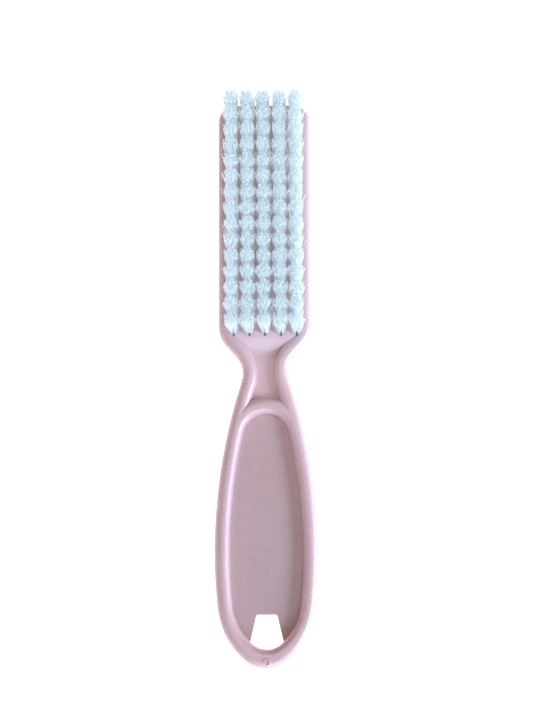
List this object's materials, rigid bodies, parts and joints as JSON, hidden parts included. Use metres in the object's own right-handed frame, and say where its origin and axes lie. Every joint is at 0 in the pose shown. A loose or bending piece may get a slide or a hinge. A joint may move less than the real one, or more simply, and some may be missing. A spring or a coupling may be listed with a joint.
{
  "type": "nail scrubbing brush",
  "caption": "Moulded paddle-handled nail brush with a grid of crimped nylon tufts on its head and a hanging hole at the tail.",
  "frame": {"origin": "middle of the rectangle the brush stands on when it lies on its back, on that plane", "axes": "+X across the brush, +Y from the tail of the handle to the bristle head, +Z the way the bristles point"},
  "size_m": [0.0324, 0.18, 0.033],
  "materials": {
    "pink_plastic": "moulded polypropylene with a fine satin grain, soft gloss on its rounded edges",
    "nylon_bristle": "crimped translucent white nylon filament",
    "anchor_wire": "dull flat staple wire"
  },
  "bodies": {
    "root": {"body": "pink_plastic", "tufts_row_01": "nylon_bristle", "tufts_row_02": "nylon_bristle", "tufts_row_03": "nylon_bristle", "tufts_row_04": "nylon_bristle", "tufts_row_05": "nylon_bristle", "tufts_row_06": "nylon_bristle", "tufts_row_07": "nylon_bristle", "tufts_row_08": "nylon_bristle", "tufts_row_09": "nylon_bristle", "tufts_row_10": "nylon_bristle", "tufts_row_11": "nylon_bristle", "tufts_row_12": "nylon_bristle", "tufts_row_13": "nylon_bristle", "tufts_row_14": "nylon_bristle", "tufts_row_15": "nylon_bristle", "anchors_row_01": "anchor_wire", "anchors_row_02": "anchor_wire", "anchors_row_03": "anchor_wire", "anchors_row_04": "anchor_wire", "anchors_row_05": "anchor_wire", "anchors_row_06": "anchor_wire", "anchors_row_07": "anchor_wire", "anchors_row_08": "anchor_wire", "anchors_row_09": "anchor_wire", "anchors_row_10": "anchor_wire", "anchors_row_11": "anchor_wire", "anchors_row_12": "anchor_wire", "anchors_row_13": "anchor_wire", "anchors_row_14": "anchor_wire", "anchors_row_15": "anchor_wire"}
  },
  "joints": []
}
